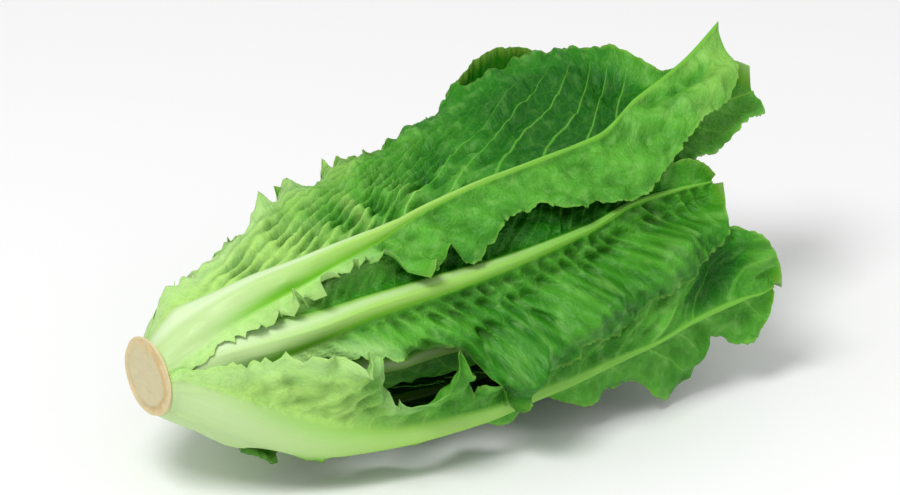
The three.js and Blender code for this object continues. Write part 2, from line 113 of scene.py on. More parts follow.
# The leaves from the outermost in. A list holds (x, value) pairs down the leaf unless it says otherwise, and
# low and high stand for the sides of the smaller and the larger angle. What isn't listed has the plain form.
# - tip, width: x of the tip, and half width of the plain outline
# - rib, lift: angle of the midrib, and how far it stands off the head
# - low, high: half width of a side; tip_width: the least half width
# - roll, frill: how far a margin turns outwards, and how strongly it bends in frills
# - fold: a ridge that a side bends over, as (x, distance from the midrib, height)
# - dents: single hollows and humps, as (side, x, distance, half length, half width, height, added green), the
#   green being shade painted into hollows and, where negative, light painted onto humps and pale patches
# - waves, lobes: factors on the margin's waves and on the lobes of the outline
# - flare: how much further out the base may stand where the leaves grow together
# - rib_width: half width of the midrib by share of length
# - rib_rise, rib_spread: factors on the midrib's height and on its half width
# - lean, crest: how much steeper the midrib is on its high side, and how strong the painted highlight along
#   that side is
# - veins, ahead: how many lateral veins have left the midrib, and how far they run ahead as VEIN_AHEAD
# - quilt, vein: how deep the blade sinks between the veins, and how clearly they show
# - tone, even: added green, and whether it stays up to the margin
# - under: (layer, x, x) when the far part, from between these places on, lies under that layer's leaf
LEAVES = [
    {
        "tip": 234, "width": 44,
        "rib": [
            (4, -36), (20, -39), (40, -42), (68, -37.5), (82, -34.5), (99, -32), (121, -29.5), (145, -26),
            (177, -18), (205, -11), (234, -7),
        ],
        "high": [
            (1, 13), (12, 18), (22, 24), (44, 34.5), (58, 34), (66, 23.5), (74, 18.3), (82, 20.4),
            (91, 29.6), (96, 25), (104, 13.2), (111, 14.4), (124, 24), (148, 28), (168, 29), (190, 32),
            (204, 33), (216, 29), (223.5, 25), (229, 18.5), (232, 12.5), (233.6, 6), (234, 2),
        ],
        "low": [
            (1, 9), (10, 6), (24, 6), (38, 7), (56, 9), (75, 8), (100, 7), (135, 7), (150, 12.5),
            (160, 12.5), (171, 16), (180, 19.5), (192, 26.5), (200, 27.4), (204.5, 25), (207.5, 14),
            (213, 14.5), (219, 18), (226, 17.3), (231, 14), (233, 8), (234, 2),
        ],
        "frill_low": [(1, 0), (140, 0), (180, 0.5), (237, 0.5)],
        "lift": [(4, 0), (20, 2), (30, 3), (54, 5), (80, 5), (110, 4), (135, 2), (237, 3)],
        "roll_high": [(4, 1), (60, 3), (110, 2), (200, 1), (237, 4)],
        "roll_low": [
            (4, 0), (15, 1), (30, 2), (54, 1), (77, 0.5), (140, 2), (180, 8), (200, 10), (205, 10),
            (210, 3), (234, 3),
        ],
        "crest_highlight": 0.15,
        "rib_width": [
            (0, 12.5), (0.07, 12.5), (0.15, 12), (0.22, 10.5), (0.32, 7), (0.45, 5), (0.6, 3.4),
            (0.75, 2.2), (0.9, 1.3), (1, 0.6),
        ],
        "dents": [
            (1, 184, 7, 11, 6, 3, -0.15), (1, 203, 7, 5, 4, -2, 0.9), (1, 213, 14, 8, 10, -4.5, 1.3),
            (1, 228, 15, 4, 16, 2.5, -0.25),
        ],
        "tone_high": [(1, -0.15), (80, -0.15), (140, 0), (237, -0.15)], "tone_low": [(1, -0.1), (237, -0.15)],
        "under": (5, 100, 118), "vein_high": [(1, 0.5), (237, 0.6)],
    },
    {"tip": 244, "width": 44, "rib": [(4, -168), (120, -174), (244, -168)]},
    {
        "tip": 251, "width": 46,
        "rib": [
            (5, 73), (38, 66), (58, 62), (82, 61.5), (105, 64), (131, 65.5), (155, 66), (181, 67.5),
            (207, 78), (223, 82), (251, 89),
        ],
        "high": [
            (1, 9), (4, 12), (8, 15), (18, 18), (28, 21.5), (36, 25), (46, 30), (56, 35.5), (80, 42),
            (102, 43.5), (123, 45), (140, 44.5), (157, 41), (178, 39.5), (196, 32), (206, 22),
            (214, 10), (222, 4), (238, 3), (251, 0.5),
        ],
        "low": [
            (1, 12), (16, 10), (30, 12), (42, 12.7), (53, 11), (64, 8.3), (79, 8), (84, 15), (89, 21),
            (96, 20.3), (101, 16.3), (109, 23.3), (117, 21.6), (123, 17.7), (130.8, 13.9), (143.5, 14.3),
            (160.2, 20), (167, 19.2), (173, 23.6), (181.4, 24), (189, 24.7), (202.8, 24.6), (212.3, 21.5),
            (224.6, 19.5), (236.3, 19.3), (245, 16), (249, 12.5), (250, 6),
            (250.5, 2.5), (251, 0.6),
        ],
        "lift": [(5, 0), (60, 3), (114, 5), (150, 6), (200, 7), (229, 11), (251, 19)],
        "roll_high": [
            (3, 1), (8, 5), (13, 8), (20, 6), (28, 3), (35, 2), (38, 4), (42, 7), (48, 6.5), (56, 6),
            (66, 6), (80, 5), (102, 4), (112, 4), (120, 5), (126, 7), (135, 9), (148, 9.5), (154, 14),
            (160, 18), (167, 18.5), (176, 15.5), (182, 16), (187, 17.5), (204, 16), (212, 11), (225, 5),
            (251, 3),
        ],
        "fold_low": [(186, 0.5, 0), (193, 2, 1.5), (207, 8, 4), (223, 10.5, 5), (236, 12, 5), (247, 13.7, 3)],
        "dents": [
            (-1, 213, 3.5, 4, 1.6, -2, 0.5), (-1, 222, 5, 4, 1.6, -2, 0.6), (-1, 232, 6, 5, 1.6, -2, 0.4),
            (1, 80, 18, 3.5, 7, -2, 0.45), (1, 87, 17, 3.5, 8, 2, -0.4), (1, 94, 15, 3.5, 7, -2.5, 0.6),
            (1, 106, 12, 4, 6, 2, -0.4), (1, 118, 16, 4, 8, -2.5, 0.6), (1, 128, 24, 5, 6, -1.5, 0.4),
            (1, 78, 36, 14, 9, 0, -0.3), (1, 100, 40, 13, 9, 0, -0.6), (1, 124, 38, 7, 6, 0, -0.3),
        ],
        "frill_high": [(1, 0.3), (30, 0.5), (60, 0.6), (100, 0.6), (120, 0.25), (251, 0.15)],
        "frill_low": [(1, 0.8), (20, 1.4), (60, 1.8), (85, 1), (160, 0.4), (251, 0.15)],
        "roll_low": [(5, 1), (30, 4), (60, 5), (84, 3), (100, 1), (251, 0)],
        "rib_width": [
            (0, 9), (0.06, 8.8), (0.14, 7.6), (0.2, 6), (0.26, 4.6), (0.32, 3.2), (0.38, 1.8), (0.46, 1.2),
            (0.6, 1), (1, 0.5),
        ],
        "veins": [(0, 0), (60, 7), (95, 10.6), (210, 16.5), (251, 18.5)],
        "ahead_high": (1.2, 0.035),
        "quilt_high": [(1, 1.2), (50, 2.4), (95, 3.3), (118, 2.4), (140, 0.9), (251, 0.5)],
        "quilt_low": [(1, 0.8), (251, 0.7)],
        "tip_width": 0.4, "lobes": 0.3, "waves": 0.4, "lean": 1,
        "tone_high": [
            (1, -0.25), (60, -0.2), (95, -0.15), (125, -0.05), (155, 0.6), (190, 0.8), (215, 0.4),
            (251, -0.3),
        ],
        "tone_low": [(1, -0.2), (60, -0.15), (100, -0.1), (180, -0.2), (220, -0.45), (251, -0.5)],
        "vein_high": [(1, 0.2), (70, 0.6), (100, 0.9), (251, 0.9)], "vein_low": [(1, 0.15), (251, 0.2)],
    },
    {
        "tip": 236, "width": 44, "rib": [(8, -93), (236, -93)], "rib_rise": 0.6, "rib_spread": 2.6,
        "high": [
            (1, 9), (12, 10.5), (24, 12), (34, 13.5), (45, 11), (60, 9), (75, 10), (90, 14), (120, 22),
            (180, 24), (215, 18), (236, 2),
        ],
        "tone_high": [(1, 0.2), (14, 0.5), (20, 1.1), (60, 1), (251, 0.4)],
        "tone_low": 0.3, "even": 1,
        "roll_high": [(3, 0), (8, 0.5), (14, 1), (20, 4), (27, 12), (36, 11), (44, 4), (60, 0), (236, 0)],
        "flare": 1.5,
        "frill_high": [(1, 1.2), (50, 1), (70, 0.1), (236, 0.1)],
    },
    {
        "tip": 238, "width": 45, "rib": [(10, 142), (60, 138), (238, 134)],
        "low": [
            (5, 10), (60, 24), (120, 21), (145, 14), (162, 13.6), (182, 13.6), (200, 20), (225, 14), (238, 2),
        ],
        "frill_low": [(5, 0.3), (110, 0.05), (238, 0)], "waves": 0.1, "lobes": 0.1,
        "lift": [(10, 0), (110, 2), (160, 6), (185, 6), (238, 4)],
        "tone_low": [(1, -0.1), (60, 0), (120, 0.5), (251, 0.6)],
        "tone_high": [(1, 0), (120, 0.3), (251, 0.3)],
        "roll_low": [(10, 0), (110, 2), (140, 10), (158, 24), (174, 29), (185, 26), (198, 12), (238, 4)],
        "even": 1, "vein_low": 0.1,
    },
    {
        "tip": 223, "width": 50,
        "rib": [
            (13, 32), (22, 31), (49, 29.5), (76, 31.5), (118, 31.4), (166, 34.9), (191, 40), (207, 39.5),
            (223, 38),
        ],
        "low": [
            (13, 9), (40, 11), (54, 11.5), (71, 16.8), (86, 20.8), (99, 22.6), (106, 31.6), (112, 38.6),
            (118, 36.6), (127, 31.8), (135, 31), (152, 31), (179, 27.3), (200, 24), (204, 21.5),
            (212, 18.5), (217, 14.5), (220.5, 9), (222, 5.5), (223, 1.5),
        ],
        "high": [
            (13, 8), (40, 14), (80, 18), (140, 30), (180, 22), (203, 9), (212, 8), (217.5, 6), (221, 3.5),
            (223, 1.5),
        ],
        "frill_high": [(13, 0.1), (90, 0.1), (140, 0.5), (223, 0.3)],
        "lift": [(6, 0), (30, 3), (54, 4), (100, 4), (160, 5), (223, 4)],
        "fold_low": [
            (45, 10, 0), (60, 12.5, 2), (86, 15.5, 4.5), (131, 18.5, 4.5), (176, 22, 4.5), (215, 20, 2),
        ],
        "rib_width": [
            (0, 10.5), (0.07, 9.5), (0.15, 7.8), (0.22, 6.4), (0.32, 5.2), (0.45, 4.6), (0.6, 3.2),
            (0.75, 1.9), (0.9, 1.1), (1, 0.6),
        ],
        "veins": [(0, 0), (223, 36)],
        "quilt_low": 1.9, "quilt_high": 1.2, "vein_low": 0.15, "vein_high": 0.3,
        "tone_low": [(1, 0), (200, -0.05)], "tone_high": 0.45, "crest_highlight": 0.7, "lean": 0.3,
    },
    {"tip": 250, "width": 44, "rib": [(18, -134), (250, -128)]},
    {
        "tip": 263, "width": 40, "rib": [(22, 82), (120, 78), (263, 80)],
        "low": [
            (22, 5), (46, 7), (94, 12), (140, 24), (180, 24), (212, 19.2), (221, 18.5), (237.7, 15.5),
            (245.8, 13), (257, 11.2), (261, 9.5), (263, 5),
        ],
        "high": [(22, 13), (60, 20), (150, 30), (220, 27), (248, 22), (257, 16), (261, 9), (263, 3)],
        "lift": [(22, 0), (150, 4), (263, 6)], "roll_high": [(22, 2), (220, 3), (263, 11)],
        "frill_low": [(22, 0.1), (94, 0.1), (200, 0.3), (263, 0.05)],
        "tone_low": [(1, 0.2), (200, 0), (240, -0.3)], "tone_high": [(1, 0.2), (200, 0), (240, -0.3)],
        "even": 1,
    },
    {"tip": 222, "width": 42, "rib": [(25, -14), (91, -17), (150, -10), (222, -2)]},
    {"tip": 252, "width": 42, "rib": [(28, 176), (252, 172)]},
    {"tip": 214, "width": 38, "rib": [(31, 40), (214, 40)]},
    {"tip": 238, "width": 38, "rib": [(34, -100), (238, -96)]},
    {"tip": 230, "width": 35, "rib": [(37, 122), (230, 118)]},
    {"tip": 218, "width": 31, "rib": [(40, -20), (218, -14)]},
    {"tip": 222, "width": 28, "rib": [(43, -154), (222, -150)]},
    {"tip": 212, "width": 24, "rib": [(46, 70), (212, 74)]},
    {"tip": 200, "width": 20, "rib": [(49, -66), (200, -62)]},
    {"tip": 186, "width": 15, "rib": [(52, 160), (186, 160)]},
]

# Rows down a leaf and columns on each side of its midrib, from the outermost leaf in. The rows crowd towards
# the tip by the power of ROW_CROWDING.
ROWS = [260] * 6 + [190] * 4 + [120] * 4 + [80] * 4
SIDE_COLUMNS = [48] * 6 + [34] * 4 + [22] * 4 + [14] * 4
ROW_CROWDING = 1.25

# Waves of the margin, in and out of the head, and lobes of its outline.
WAVE_LENGTH = (29, 38)
WAVE_HEIGHT = 4
LOBE_LENGTH = (26, 36)
LOBE_DEPTH = 0.11
PLAIN_LOBES = 0.7

# The ragged edge, in mm: a saw of teeth that rise over TOOTH_RISE of their length, and small nicks.
TOOTH_LENGTH = 7
TOOTH_DEPTH = 2.8
TOOTH_RISE = 0.6
NICK_LENGTH = 3.1
NICK_DEPTH = 1.0

# Frills: width of the strip that bends, length of a frill at the base, how fast they grow longer down the
# leaf, and the angle that the strip bends by on the whole and in each frill, in radians.
FRILL_ZONE = 12
FRILL_LENGTH = 9.5
FRILL_STRETCH = 1.1
FRILL_LEAN = 0.25
FRILL_TURN = 1.15

# Plain form of a side: how far its margin rolls out at the base and how much more at the tip, the depth of
# the valley between the margin and the midrib, and a fold's reach towards the midrib and towards the margin.
ROLL_AT_BASE = 2
ROLL_TO_TIP = 4
VALLEY_DEPTH = 3.2
FOLD_REACH = (4, 6)

# The lowest midrib is pressed flat where the head rests: from and to x, how far its ends fade out beyond and
# within these, and half the width.
LOWEST_LAYER = 3
REST_START = 84
REST_END = 196
REST_FADE = 14
REST_EDGE = 6
REST_HALF_WIDTH = 9.5

# Lateral veins: how many have left the midrib by x, how far they run ahead, per mm and per square mm, and how
# clearly they show.
VEIN_COUNT = [(0, 0), (60, 6), (120, 11), (260, 20)]
VEIN_AHEAD = (0.85, 0.008)
VEIN_SHOW = 0.8

# Relief of the blade, in mm: how deep it sinks between its lateral veins by x, and factors on that, on the
# creases between its cushions, on its broad and small dimples and on the streaks along the veins.
QUILT_DEPTH = [(0, 1.2), (90, 1.2), (130, 0.8), (260, 0.6)]
SUNK = 1.3
CREASES = 0.9
BROAD_DIMPLES = 0.7
SMALL_DIMPLES = 0.4
STREAKS = 0.45

# What has been laid so far, as the outermost radius in each cell of the head's cylinder. A leaf with more
# rows than FINE_ROWS needs fewer points between them to fill it. SOFTENING_ROUNDS drape a leaf over it.
COVER_X = 0.75
COVER_ANGLE = 0.75
COVER_ROWS = int(HEAD_LENGTH / COVER_X) + 12
COVER_COLUMNS = int(360 / COVER_ANGLE)
FINE_ROWS = 150
SOFTENING_ROUNDS = 60

# A large factor, so that the digits of a sine that are left over look like chance.
SCRAMBLE = 43758.5453


def curve(points, at):
    """A smooth curve through (place, value) pairs, level beyond its ends, or a plain number all over."""
    if not isinstance(points, list):
        return np.full_like(at, points, dtype=float)
    place, value = np.array(points, float).T
    chord = np.diff(value) / np.diff(place)
    slope = np.empty(len(place))
    slope[0], slope[-1] = chord[0], chord[-1]
    one, other = chord[:-1], chord[1:]
    agree = one * other > 0
    slope[1:-1] = np.where(agree, 2 * one * other / np.where(agree, one + other, 1), 0)
    at = np.clip(at, place[0], place[-1])
    i = np.clip(np.searchsorted(place, at, side="right") - 1, 0, len(place) - 2)
    span = place[i + 1] - place[i]
    t = (at - place[i]) / span
    start = value[i] * (1 + 2 * t) + slope[i] * span * t
    end = value[i + 1] * (3 - 2 * t) - slope[i + 1] * span * (1 - t)
    return start * (1 - t) ** 2 + end * t**2


def ease(t):
    return t * t * (3 - 2 * t)


def smooth(low, high, at):
    """A soft step from 0 at low to 1 at high."""
    return ease(np.clip((at - low) / (high - low), 0, 1))


def bell(at, half):
    return np.exp(-((at / half) ** 2))


def zigzag(at):
    """A wave of straight lines, 0 at whole numbers and 1 half way between them."""
    return 1 - np.abs(2 * (at - np.floor(at)) - 1)


def chance(layer, purpose):
    """A fixed number from 0 to 1 for each leaf and purpose."""
    wide = math.sin(layer * 12.9898 + purpose * 78.233) * SCRAMBLE
    return wide - math.floor(wide)


def scatter(i, j, seed):
    """A fixed number from 0 to 1 for each cell of an endless grid."""
    wide = np.sin(i * 127.1 + j * 311.7 + seed * 74.7) * SCRAMBLE
    return wide - np.floor(wide)


def wander(at, seed):
    """Smooth noise along a line, from -1 to 1, that changes over about one unit."""
    cell = np.floor(at)
    t = ease(at - cell)
    return 2 * (scatter(cell, 0, seed) * (1 - t) + scatter(cell + 1, 0, seed) * t) - 1


def clouds(u, v, seed):
    """Smooth noise over a plane, from -1 to 1, that changes over about one unit."""
    i, j = np.floor(u), np.floor(v)
    s, t = ease(u - i), ease(v - j)
    low = scatter(i, j, seed) * (1 - s) + scatter(i + 1, j, seed) * s
    high = scatter(i, j + 1, seed) * (1 - s) + scatter(i + 1, j + 1, seed) * s
    return 2 * (low * (1 - t) + high * t) - 1


def blisters(u, v, seed):
    """Rounded cushions over a plane with creases between them, 0 in a crease and 1 on top."""
    i, j = np.floor(u), np.floor(v)
    nearest = np.full(u.shape, 9.0)
    second = np.full(u.shape, 9.0)
    for a in (-1, 0, 1):
        for b in (-1, 0, 1):
            x = i + a + 0.15 + 0.7 * scatter(i + a, j + b, seed)
            y = j + b + 0.15 + 0.7 * scatter(i + a, j + b, seed + 9)
            far = np.hypot(u - x, v - y)
            second = np.minimum(second, np.maximum(nearest, far))
            nearest = np.minimum(nearest, far)
    return smooth(0, 0.55, second - nearest)


def swing(layer, side, lengths, x):
    """The CAD's wave along one side of a leaf, from -1 to 1."""
    length = lengths[0] + (lengths[1] - lengths[0]) * chance(layer, 5 + side + lengths[0])
    phase = chance(layer, 9 + side + lengths[1]) * 2 * math.pi
    return np.sin(2 * math.pi * x / length + phase)


def facing_down(angle):
    return np.maximum(0, np.cos(np.radians(angle - FLOOR_ANGLE)))


def head_radius(x, angle, share):
    """The head is round, and flattened where it rests."""
    flat = FLOOR_RADIUS * (FLAT_HEART + (1 - FLAT_HEART) * min(share, FLAT_SHARE))
    return np.minimum(curve(HEAD_RADIUS, x) * share, flat / np.maximum(facing_down(angle), 0.2))


def half_width(leaf, layer, side, x):
    base = leaf["rib"][0][0]
    t = np.clip((x - base) / (leaf["tip"] - base), 0, 1)
    listed = leaf.get("high" if side > 0 else "low")
    plain = curve(listed, x) if listed else leaf["width"] * curve(LEAF_OUTLINE, t)
    depth = LOBE_DEPTH * leaf.get("lobes", PLAIN_LOBES)
    lobes = swing(layer, side, LOBE_LENGTH, x) * depth * np.sin(math.pi * t)
    return np.maximum(leaf.get("tip_width", TIP_HALF_WIDTH), plain * (1 + lobes))


def teeth(layer, side, x, t):
    """How far the ragged edge stands out of the smooth outline, in mm: fine teeth, coarser near the base."""
    seed = 20 * layer + side
    along = x / TOOTH_LENGTH + 0.7 * wander(x / 9, seed)
    part = along - np.floor(along)
    tooth = np.where(part < TOOTH_RISE, part / TOOTH_RISE, (1 - part) / (1 - TOOTH_RISE))
    nick = zigzag(x / NICK_LENGTH + 0.6 * wander(x / 6, seed + 3))
    size = (1 - 0.75 * smooth(0.3, 0.65, t)) * (0.8 + 0.5 * wander(x / 15, seed + 5))
    ragged = TOOTH_DEPTH * (tooth - 0.5) * size + NICK_DEPTH * (nick - 0.5) * (1 - 0.3 * t)
    return ragged * smooth(0, 0.05, t)


class HalfLeaf:
    """One side of a leaf from its midrib to its margin, as arrays of rows down the leaf.

    row is the share of the leaf's length and reach that of its half width, wide is the half width, and arc
    the distance from the midrib. share is the size of this layer against the outermost one, and grown runs up
    to 1 near the base, where every form begins.
    """

    def __init__(self, leaf, layer, side, rows, columns):
        self.leaf, self.layer, self.side = leaf, layer, side
        base, tip = leaf["rib"][0][0], leaf["tip"]
        first = FIRST_X if layer < FUSED_LAYERS else 0.5 * base
        self.row = 1 - (1 - np.linspace(0, 1, rows + 1)[:, None]) ** ROW_CROWDING
        self.x = first + (tip - first) * self.row
        self.reach = np.linspace(0, 1, columns + 1)[None, :]
        self.wide = half_width(leaf, layer, side, self.x)
        self.share = 1 - LAYER_STEP * layer
        self.grown = np.minimum(1, self.row * 6)
        ragged = teeth(layer, side, self.x, self.row) * self.reach**6 * np.minimum(1, self.wide / 8)
        self.arc = self.wide * self.reach + ragged

    def own(self, name, default=None):
        """What the leaf lists for this side, or else the default."""
        return self.leaf.get(name + ("_high" if self.side > 0 else "_low"), default)

    def frilled(self):
        """How far each point goes out and up where the margin bends in frills, deepest near the base."""
        zone = np.minimum(FRILL_ZONE, 0.6 * self.wide)
        turns = self.x / FRILL_LENGTH - FRILL_STRETCH * (self.x / 100) ** 2
        turns = turns + 0.8 * wander(self.x / 13, 40 * self.layer + self.side)
        wave = np.sin(2 * math.pi * turns) * (0.6 + 0.7 * wander(self.x / 16, 50 * self.layer + self.side))
        listed = self.own("frill")
        size = curve(listed, self.x) if listed else 1 - 0.7 * smooth(0.4, 0.8, self.row)
        bend = (FRILL_LEAN + FRILL_TURN * wave) * self.grown * size
        bend = bend * smooth(0, 1, (self.arc - self.wide + zone) / zone)
        step = np.diff(self.arc, axis=1, prepend=0)
        return np.cumsum(np.cos(bend) * step, axis=1), np.cumsum(np.sin(bend) * step, axis=1)

    def folded(self, ahead):
        """How far the large forms of the blade stand out, and how much green they add, with shade painted
        into the dents' hollows and light onto their humps.
        """
        leaf, x, arc, reach = self.leaf, self.x, self.arc, self.reach
        lift = curve(leaf["lift"], x) * (1 - 0.6 * reach) if "lift" in leaf else 0
        rolled = self.own("roll")
        roll = curve(rolled, x) if rolled else ROLL_AT_BASE + ROLL_TO_TIP * self.row * self.row
        valley = -VALLEY_DEPTH * self.grown * np.sin(math.pi * np.minimum(1, reach * 1.3))
        valley = valley * np.minimum(1, self.wide / 30)
        fold = np.zeros_like(arc)
        ridge = self.own("fold")
        if ridge:
            apart = arc - curve([(at, far) for at, far, _ in ridge], x)
            fold = curve([(at, high) for at, _, high in ridge], x)
            fold = fold * bell(apart, np.where(apart < 0, *FOLD_REACH))
        tone = np.zeros_like(arc) + curve(self.own("tone", 0), x)
        # Positive added green of a dent is painted shade where it sinks, and negative added green is painted
        # light on a hump.
        for side, at, far, half_long, half_wide, high, green in leaf.get("dents", []):
            if side == self.side:
                spot = bell(ahead - at, half_long) * bell(arc - far, half_wide)
                fold = fold + high * spot
                tone = tone + green * spot
        waves = swing(self.layer, self.side, WAVE_LENGTH, ahead) * WAVE_HEIGHT * leaf.get("waves", 1)
        return lift + roll * reach**2 + valley + fold + waves * reach**3 * self.grown, tone

    def ribbed(self):
        """How far the midrib stands out, and its half width."""
        leaf = self.leaf
        stout = 0.45 + 0.55 * self.share
        height = curve(RIB_HEIGHT, self.row) * stout * leaf.get("rib_rise", 1)
        spread = curve(leaf.get("rib_width", RIB_HALF_WIDTH), self.row) * stout * leaf.get("rib_spread", 1)
        steepest = RIB_STEEPEST * spread
        height = height * steepest / (height**4 + steepest**4) ** 0.25
        # A leaning rib is steep on its high side and falls away softly on its low side.
        lean = leaf.get("lean", 0) * (-0.35 if self.side > 0 else 0.7)
        inside = np.clip(1 - (self.arc / spread) ** 2, 0, 1)
        return height * inside ** (RIB_ROUND + lean), spread

    def quilted(self, ahead, spread):
        """Lateral veins that run out and ahead, the relief of the blade between them, and a mask of where it
        sinks for painted shade.
        """
        leaf, layer, side, arc = self.leaf, self.layer, self.side, self.arc
        wobble = clouds(ahead / 15, arc / 15 + 7 * side, 3 + layer)
        slope, bending = self.own("ahead", VEIN_AHEAD)
        start = ahead - slope * arc - bending * arc**2 + 3 * wobble
        lateral = curve(leaf.get("veins", VEIN_COUNT), start) + np.minimum(0, start) / 10
        lateral = lateral + 0.25 * wander(lateral / 2, 70 * layer + side) + chance(layer, 31 + side)
        beside = np.abs(lateral - np.round(lateral)) * 2
        across = arc / 8 + scatter(np.floor(lateral), 3, layer)
        quilt = smooth(0, 1, beside) ** 0.8 * (0.45 + 0.55 * smooth(0, 0.8, zigzag(across)))

        broad = clouds(ahead / 5 + 40, arc / 5 + 40 * side, 90 + layer)
        small = clouds(ahead / 2.4 + 50, (arc - 0.5 * ahead) / 3.6 + 50 * side, 80 + layer)
        cushion = blisters(ahead / 8 + 0.5 * wobble, (arc - 0.5 * ahead) / 6 + 31 * side, 60 + layer)
        streak = clouds(lateral * 3.7, arc / 7 + 20 * side, 110 + layer)
        depth = curve(self.own("quilt", QUILT_DEPTH), self.x)
        sunk = depth * quilt * (1 + 0.6 * broad) * (1 - 0.7 * smooth(0.55, 0.95, self.reach))
        relief = SUNK * sunk + CREASES * (1 - cushion) + SMALL_DIMPLES * small + BROAD_DIMPLES * broad
        relief = relief + STREAKS * streak

        # Only the blade is quilted: not the midrib, the base or a narrow part.
        blade = smooth(0.85, 1.5, arc / spread) * smooth(0.03, 0.14, self.row) * np.minimum(1, self.wide / 22)
        # Where the blade sinks between its veins, as the mask that the material darkens with painted shade.
        hollow_shade = np.clip((0.7 * quilt + 0.3 * broad) * np.clip(depth / 1.4, 0.85, 1.6), 0, 1.25)
        return lateral, -relief * blade, hollow_shade * blade

    def sheet(self):
        """Everything that a mesh and its material need of this side."""
        leaf, x, row, arc, wide = self.leaf, self.x, self.row, self.arc, self.wide
        out, up = self.frilled()
        around = np.maximum(curve(HEAD_RADIUS, x) * self.share, LEAST_RADIUS)
        turn = np.minimum(1, math.radians(WIDEST_ANGLE) * around / wide)
        ahead = np.minimum(x + out * SLANT * (1 - row * row) * smooth(0, 0.06, row), HEAD_LENGTH)
        angle = curve(leaf["rib"], x) + self.side * np.degrees(out * turn / around)

        shape, tone = self.folded(ahead)
        rise, spread = self.ribbed()
        lateral, relief, hollow_shade = self.quilted(ahead, spread)
        free = (1 - facing_down(angle) ** 4 * smooth(40, 75, ahead)) * min(1, self.share + 0.2)
        if "even" not in leaf:
            tone = np.where(tone > 0, tone * smooth(3, 14, wide - arc), tone)
        return {
            "x": ahead,
            "angle": angle,
            "r": head_radius(ahead, angle, self.share) + (shape + up + relief) * free,
            "thick": BLADE * (1 - 0.5 * self.reach**6) + rise,
            "tone": tone,
            "show": np.zeros_like(arc) + curve(self.own("vein", VEIN_SHOW), x),
            "out": self.side * arc,
            "lateral": lateral,
            "rib": np.clip(1 - (arc * leaf.get("rib_spread", 1) / spread) ** 2, 0, 1),
            "hollow_shade": hollow_shade,
            "margin": wide - arc,
        }


def leaf_sheet(leaf, layer):
    """Both sides of a leaf joined at the midrib."""
    low, high = (HalfLeaf(leaf, layer, side, ROWS[layer], SIDE_COLUMNS[layer]).sheet() for side in (-1, 1))
    return {key: np.concatenate([low[key][:, :0:-1], high[key]], axis=1) for key in low}


def widened(field):
    """The highest of each cell and its eight neighbours, with the angle wrapping round."""
    best = field
    for shift in (-1, 1):
        best = np.maximum(best, np.roll(field, shift, axis=1))
    padded = np.pad(best, ((1, 1), (0, 0)), mode="edge")
    return np.maximum(best, np.maximum(padded[:-2], padded[2:]))


def cell_of(x, angle):
    i = np.clip(np.rint(x / COVER_X).astype(int), 0, COVER_ROWS - 1)
    return i, np.rint(angle / COVER_ANGLE).astype(int) % COVER_COLUMNS


def softened(field):
    """Each value with a share of its neighbours in the leaf's grid."""
    for _ in range(2):
        wide = np.pad(field, ((1, 1), (0, 0)), mode="edge")
        field = ((wide[:-2] + 2 * wide[1:-1] + wide[2:]) / 4).T
    return field


def shortage(sheet, cover):
    """How much further out a leaf has to lie to clear everything laid before it."""
    return np.maximum(0, widened(cover)[cell_of(sheet["x"], sheet["angle"])] + GAP - sheet["r"])


def settle(sheet, short):
    """Moves a leaf out where it falls short, and drapes it over that."""
    push = short
    for _ in range(SOFTENING_ROUNDS):
        push = np.maximum(short, softened(push))
    sheet["r"] = sheet["r"] + push


def fuse(sheet, layer):
    """Keeps the bases of the leaves within the stem's outline, where they grow together."""
    flare = LEAVES[layer].get("flare", 0) * smooth(2, 8, sheet["x"])
    flare = flare - SLIM_BACK * np.maximum(0, np.cos(np.radians(sheet["angle"] - SLIM_ANGLE))) ** 2
    within = curve(FUSED_RADIUS, sheet["x"]) + flare - FUSED_STEP * layer - sheet["thick"]
    loose = smooth(FUSED_START, FUSED_END, sheet["x"])
    sheet["r"] = np.minimum(sheet["r"], within * (1 - loose) + sheet["r"] * loose)


def upsampled(field, times):
    """A grid with that many times as many steps along both its sides."""
    for _ in range(2):
        count = len(field)
        at = np.linspace(0, count - 1, (count - 1) * times + 1)
        low = np.minimum(at.astype(int), count - 2)
        t = (at - low)[:, None]
        field = (field[low] * (1 - t) + field[low + 1] * t).T
    return field


def lay_down(sheet, cover, first_x=0):
    """Adds a leaf's outer face from first_x on to what has been laid."""
    times = 3 if sheet["x"].shape[0] > FINE_ROWS else 6
    x = upsampled(sheet["x"], times)
    where = cell_of(x, upsampled(sheet["angle"], times))
    np.maximum.at(cover, where, np.where(x < first_x, 0, upsampled(sheet["r"] + sheet["thick"], times)))


def rest_on_floor(sheet):
    """Presses the midrib that the head lies on flat, level with the surface."""
    down = np.minimum(-0.3, np.sin(np.radians(sheet["angle"])))
    y = -sheet["r"] * np.cos(np.radians(sheet["angle"]))
    x = sheet["x"]
    along = smooth(REST_START - REST_FADE, REST_START + REST_EDGE, x)
    along = along * (1 - smooth(REST_END - REST_EDGE, REST_END + REST_FADE, x))
    pressed = along * (1 - smooth(REST_HALF_WIDTH - 2, REST_HALF_WIDTH + 8, np.abs(y)))
    to_floor = FLOOR_Z / down - sheet["r"]
    sheet["thick"] = sheet["thick"] + np.maximum(0, to_floor - sheet["thick"]) * pressed


def place(x, angle, r):
    """Points of the head's cylinder as metres in the model's frame."""
    a = np.radians(angle)
    y, z = -r * np.cos(a), np.maximum(r * np.sin(a), FLOOR_Z)
    return np.stack([x, y, z], -1).reshape(-1, 3) * MM + np.array(AXIS_START)


